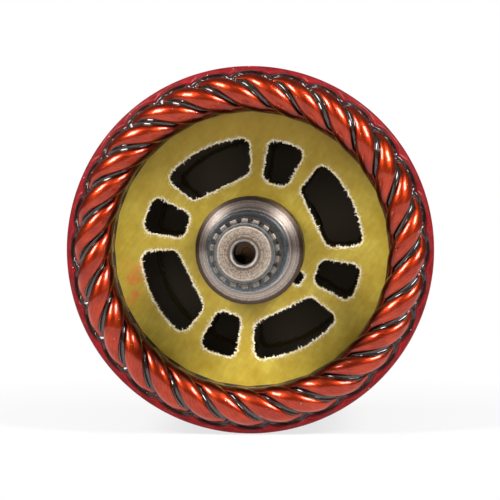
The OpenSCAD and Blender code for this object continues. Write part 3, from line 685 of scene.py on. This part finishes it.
# The resin's inner edge runs in shallow scallops from strand to strand; inside it the varnish lies deeper.
scallop = [math.sin(math.pi * ((a - cusp_turn) % slot_pitch) / slot_pitch) for a in ring_angles]
crimson_r = [cusp_r + 1.55 * s ** 0.7 for s in scallop]
strand = [(span_half + nose_half * s, p.x, p.y) for s, p in zip(arch_s, arch)]
strand += [(a, r, y) for a, r, y in top if y < board_y1 - exit_l - 4]
bars = kdtree.KDTree(slot_n * len(strand))
for i in range(slot_n):
    for k, (a, r, y) in enumerate(strand):
        bars.insert(polar(r, slot_turn + i * slot_pitch + a, y), i * len(strand) + k)
bars.balance()
rows = [round(56 - 0.2 * i, 1) for i in range(16)] + [52.7, 52.3, 51.8, 51.2]
band = [(band_r, 18.6), (56.67, 18.2), (56.55, 17.7), (56.3, 17.35)] + [(r, band_face) for r in rows]
band += [(51.2, 21.5), (54.3, 22), (54.3, 36), (56.4, 36), (band_r, 35.7), (band_r, 28)]
verts, faces = skin(band, ring_angles, loop=True)
varnished, n = [], len(ring_angles)
for k, v in enumerate(verts):
    r = math.hypot(v[0], v[2])
    inside = crimson_r[k % n] - r
    varnished.append(0.5 + 1.5 * inside if v[1] < 18 else 0.0)
    if 4 * n <= k < (4 + len(rows)) * n:
        sunk = min(1.0, max(0.0, inside / 1.1))
        y = v[1] + (0.8 * scallop[k % n] - 0.95 * (1 - scallop[k % n]) ** 2) * sunk * sunk * (3 - 2 * sunk)
        # A swelling of resin follows the border and is highest in the corner between two strands.
        y -= 0.36 * math.exp(-((inside + 0.55) / 0.42) ** 2) * (1 - scallop[k % n] ** 2)
        # The varnish climbs a bar that is near by up to a millimetre.
        gap = bars.find((v[0], y, v[2]))[2]
        verts[k] = (v[0], y - math.exp(-max(0, gap - 2.3) / 0.4) * min(1.0, max(0.0, inside)), v[2])
made = piece("drive_end_resin_band", verts, faces, band_red, "red_resin_glass", "drive_end_band")
made.data.attributes.new("varnished", "FLOAT", "POINT").data.foreach_set("value", varnished)
fall = (upper_r - top_lead_r) / lead_rise
turn_y, end_y = 135.4, 145.8
drop = fall * (end_y - turn_y)
band = rounded([(54.3, turn_y, 0), (54.3, 134.8, 0.2), (band_r, 134.8, 0.25), (band_r, turn_y, 0.2),
                (band_r - drop, end_y, 0.7), (54.3 - drop, end_y, 0.4), (54.3, turn_y, 0)])[:-1]
verts, faces = skin(band, ring_angles[::6], loop=True)
piece("commutator_end_resin_band", verts, faces, band_red, "red_resin_glass", "commutator_end_band")

# Commutator. Hard-drawn copper bars parted by mica, moulded in resin on a steel bush and turned after
# winding. The end toward the core was dipped in varnish; the brush track was turned bright again.
# Turned commutator copper: orange metal, ringed by tool marks under a thin brown film; near-black and matt
# where dipped, varnish that is painted darker still as shade for the risers seen through the ducts.
bar_copper, tree, shader, mm = finish("turned_commutator_copper")
split = add(tree, "ShaderNodeSeparateXYZ", [(0, mm)])
marks = add(tree, "ShaderNodeTexNoise", [("W", split.outputs["Y"]), ("Scale", 1 / 0.6), ("Detail", 3.0)],
            noise_dimensions="1D")
_, tone = mottled(tree, mm, 9, 4.0, "#9C5A3C", "#C98A63")
# Painted shade: the end toward the core is near-black so that the risers seen deep through the ducts stay
# dark.
darkened = add(tree, "ShaderNodeMapRange", [("Value", split.outputs["Y"]), ("From Min", 162.5),
                                          ("From Max", 165.0)])
shown = add(tree, "ShaderNodeMix", [("Factor", darkened), ("A", srgb("#0E0A08")), ("B", tone)],
            data_type="RGBA")
join(shader, [("Base Color", shown), ("Metallic", darkened)])
gloss = add(tree, "ShaderNodeMapRange", [("Value", marks), ("To Min", 0.2), ("To Max", 0.4)])
join(shader, [("Roughness", gloss)])
bump = add(tree, "ShaderNodeBump", [("Height", marks), ("Strength", 0.3), ("Distance", 0.00008)])
join(shader, [("Normal", bump)])
# Mica splittings: buff-grey flakes with little shine.
mica_sheet, tree, shader, mm = finish("mica_splittings", Roughness=0.55)
_, tone = mottled(tree, mm, 1.5, 4.0, "#6B6354", "#A79C86")
join(shader, [("Base Color", tone)])
# Phenolic moulding: black-brown and satin, faintly speckled by its wood-flour filler.
moulding, tree, shader, mm = finish("phenolic_moulding", Roughness=0.45)
_, tone = mottled(tree, mm, 0.8, 4.0, "#0C0908", "#221812")
join(shader, [("Base Color", tone)])
dress(bar_copper, "commutator_bars")
dress(mica_sheet, "commutator_mica")
dress(moulding, "commutator_moulding")
dress(shaft_steel, "commutator_bush")

# Bench and light. A bench top of plain white laminate under two softboxes, up to the left and right of the
# lens, in a dim room with a white backdrop. A weak fill beside the lens lifts the matt surfaces in the ducts.


def looks(tree):
    """The Light Path node, and a node that is 1 where metal, varnish or glass look at the surface."""
    ray = add(tree, "ShaderNodeLightPath")
    return ray, add(tree, "ShaderNodeMath", [(0, ray.outputs["Is Glossy Ray"]),
                                             (1, ray.outputs["Is Transmission Ray"])], operation="MAXIMUM")


bench_z, bench_t = -57, 20
bench_plan = ((-1000, -2000), (1000, -2000), (1000, 350), (-1000, 350))
# White laminate: plain, matt, and grey only where the object shades it.
white, tree, shader, mm = finish("white_laminate", Roughness=0.6)
join(shader, [("Base Color", srgb("#F4F4F4"))])
ray, shiny = looks(tree)
seen = add(tree, "ShaderNodeMath", [(0, ray.outputs["Is Camera Ray"]), (1, shiny)], operation="MAXIMUM")
away = add(tree, "ShaderNodeVectorMath", [(0, mm), (1, (0, 60, bench_z))], operation="DISTANCE")
clear = add(tree, "ShaderNodeMapRange", [("Value", away), ("From Min", 90.0), ("From Max", 260.0),
                                         ("To Min", 0.75)])
share = add(tree, "ShaderNodeMath", [(0, seen), (1, clear)], operation="MULTIPLY")
glow = add(tree, "ShaderNodeEmission", [("Color", (1, 1, 1, 1)), ("Strength", 1.0)])
mixed = add(tree, "ShaderNodeMixShader", [(0, share), (1, shader), (2, glow)])
join(tree.nodes["Material Output"], [("Surface", mixed)])
bench = piece("bench", [(x, y, z) for z in (bench_z, bench_z - bench_t) for x, y in bench_plan],
              [(0, 1, 2, 3), (7, 6, 5, 4), (0, 4, 5, 1), (1, 5, 6, 2), (2, 6, 7, 3), (3, 7, 4, 0)],
              white, None)
room = bpy.data.worlds.new("dim_room")
bpy.context.scene.world = room
room.use_nodes = True
tree = room.node_tree
# The backdrop is white wherever the lens, or metal and varnish, look straight past the object, and it
# lights the back of the object softly; the room in front is dim.
dim = 0.08
way = add(tree, "ShaderNodeSeparateXYZ", [(0, add(tree, "ShaderNodeTexCoord").outputs["Generated"])])
behind = add(tree, "ShaderNodeMapRange", [("Value", way.outputs["Y"]), ("From Min", 0.8), ("From Max", 0.95)])
ray, shiny = looks(tree)
past = add(tree, "ShaderNodeMath", [(0, shiny), (1, behind)], operation="MULTIPLY")
white_seen = add(tree, "ShaderNodeMath", [(0, ray.outputs["Is Camera Ray"]), (1, past)], operation="MAXIMUM")
glow = add(tree, "ShaderNodeMapRange", [("Value", way.outputs["Y"]), ("From Min", -0.1), ("From Max", 0.5),
                                        ("To Min", dim), ("To Max", 0.7)])
dull = add(tree, "ShaderNodeMix", [("Factor", shiny), ("A", glow), ("B", dim)])
soft = join(tree.nodes["Background"], [("Color", (1, 1, 1, 1)), ("Strength", dull)])
view = add(tree, "ShaderNodeBackground", [("Color", (1, 1, 1, 1)), ("Strength", 1.0)])
mixed = add(tree, "ShaderNodeMixShader", [(0, white_seen), (1, soft), (2, view)])
join(tree.nodes["World Output"], [("Surface", mixed)])
for name, at, size, power in (("left_softbox", (-0.75, -0.75, 0.8), 0.54, 21),
                              ("right_softbox", (0.75, -0.75, 0.8), 0.54, 21),
                              ("lens_fill", (0.03, -1.2, 0.05), 0.25, 4.0)):
    lamp = bpy.data.lights.new(name, "AREA")
    lamp.shape, lamp.size, lamp.energy = "SQUARE", size, power
    made = bpy.data.objects.new(name, lamp)
    made.location = at
    made.rotation_euler = (Vector((0, 0.02, 0)) - Vector(at)).to_track_quat("-Z", "Y").to_euler()
    made.visible_glossy = name != "lens_fill"
    bpy.context.scene.collection.objects.link(made)

# Camera. A long lens one metre away, so that depth hardly changes the sizes. It stands a little right of the
# shaft's axis and a little above it, and looks at the drive end.
lens = bpy.data.cameras.new("long_lens")
lens.sensor_width, lens.lens = 36, 233.8
camera = bpy.data.objects.new("long_lens", lens)
target = Vector((0, 0.017, 0))
az, el = math.radians(1.8), math.radians(1.1)
camera.location = target + Vector((math.sin(az) * math.cos(el), -math.cos(az) * math.cos(el), math.sin(el)))
camera.rotation_euler = (target - camera.location).to_track_quat("-Z", "Y").to_euler()
bpy.context.scene.collection.objects.link(camera)
bpy.context.scene.camera = camera
bpy.context.scene.view_settings.view_transform = "Standard"
